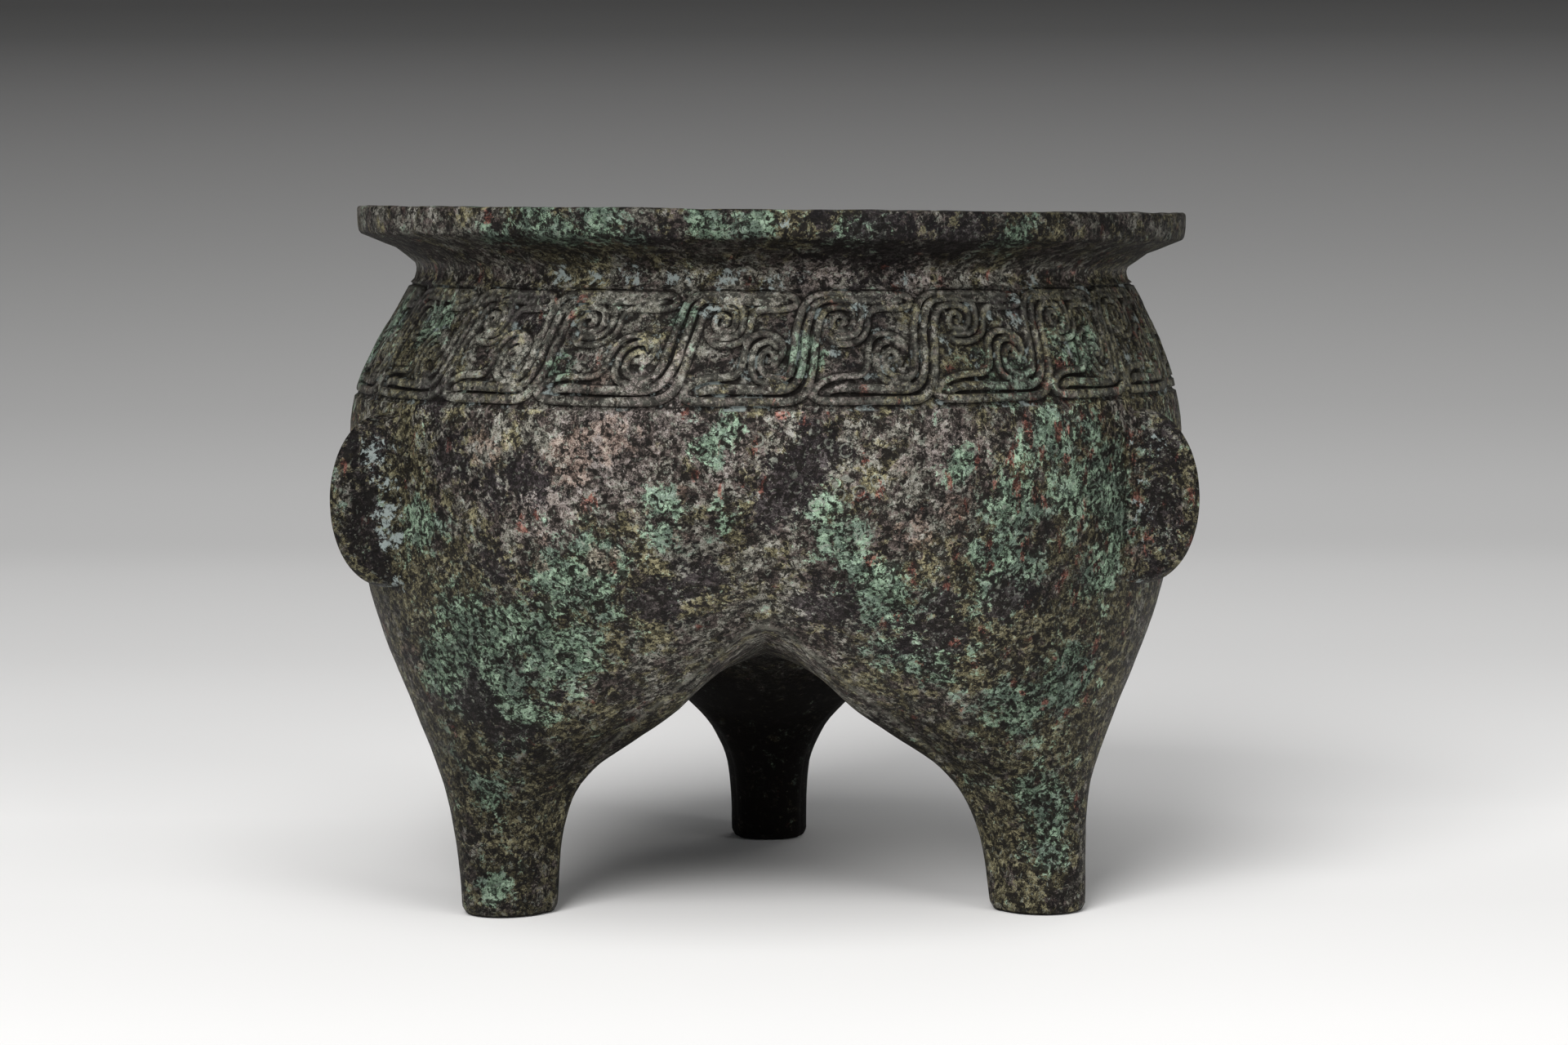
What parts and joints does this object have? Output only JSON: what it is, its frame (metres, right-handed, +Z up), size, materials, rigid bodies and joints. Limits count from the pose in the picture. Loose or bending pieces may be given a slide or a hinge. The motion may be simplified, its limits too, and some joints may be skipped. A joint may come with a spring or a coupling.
{
  "type": "bronze li tripod vessel",
  "caption": "Hollow cast bronze tripod with a flat everted rim, short neck, scroll band, three-lobed belly running into short legs, and a D-shaped flange over each leg.",
  "frame": {"origin": "middle of the box around the vessel, on the ground that its feet stand on", "axes": "+Z up through the mouth; -Y is the front, toward the viewer, with the arch between the front legs facing it and the third leg at the back; +X to the viewer's right"},
  "size_m": [0.1714, 0.1826, 0.141],
  "materials": {
    "patinated_bronze": "aged tin bronze with a mottled grey-green, brown and pale green patina, satin to matte"
  },
  "bodies": {
    "root": {"tripod_body": "patinated_bronze"}
  },
  "joints": []
}
